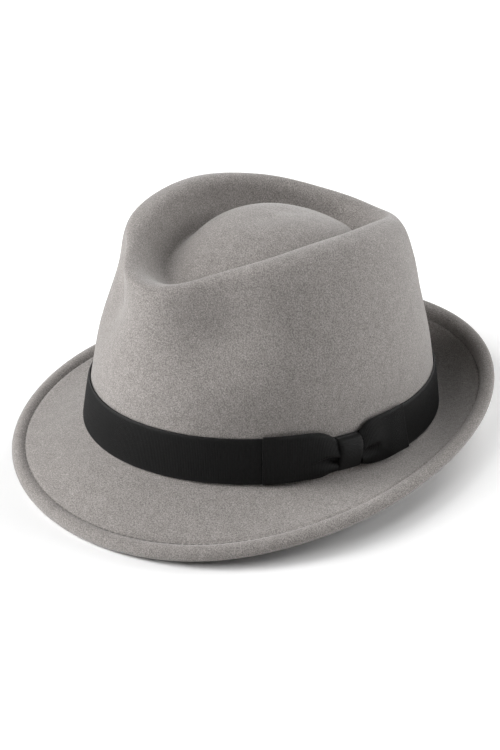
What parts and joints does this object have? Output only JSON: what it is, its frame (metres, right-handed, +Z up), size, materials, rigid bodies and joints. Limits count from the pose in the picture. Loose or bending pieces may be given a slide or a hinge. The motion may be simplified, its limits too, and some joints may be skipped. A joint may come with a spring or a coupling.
{
  "type": "trilby hat",
  "caption": "Soft felt trilby with a pinched teardrop crown, a brim turned down in front and up behind, and a ribbon with a flat side bow.",
  "frame": {"origin": "on the surface that the hat rests on, under the middle of its bounding box", "axes": "+X to the wearer's left, where the bow is, +Y to the back of the hat, +Z up"},
  "size_m": [0.2432, 0.2782, 0.1308],
  "materials": {
    "wool_felt": "matt brushed wool felt, light warm grey, finely flecked",
    "grosgrain_ribbon": "black grosgrain ribbon with fine upright ribs"
  },
  "bodies": {
    "root": {"felt_body": "wool_felt", "ribbon_band": "grosgrain_ribbon", "bow_front": "grosgrain_ribbon", "bow_back": "grosgrain_ribbon", "bow_knot": "grosgrain_ribbon"}
  },
  "joints": []
}
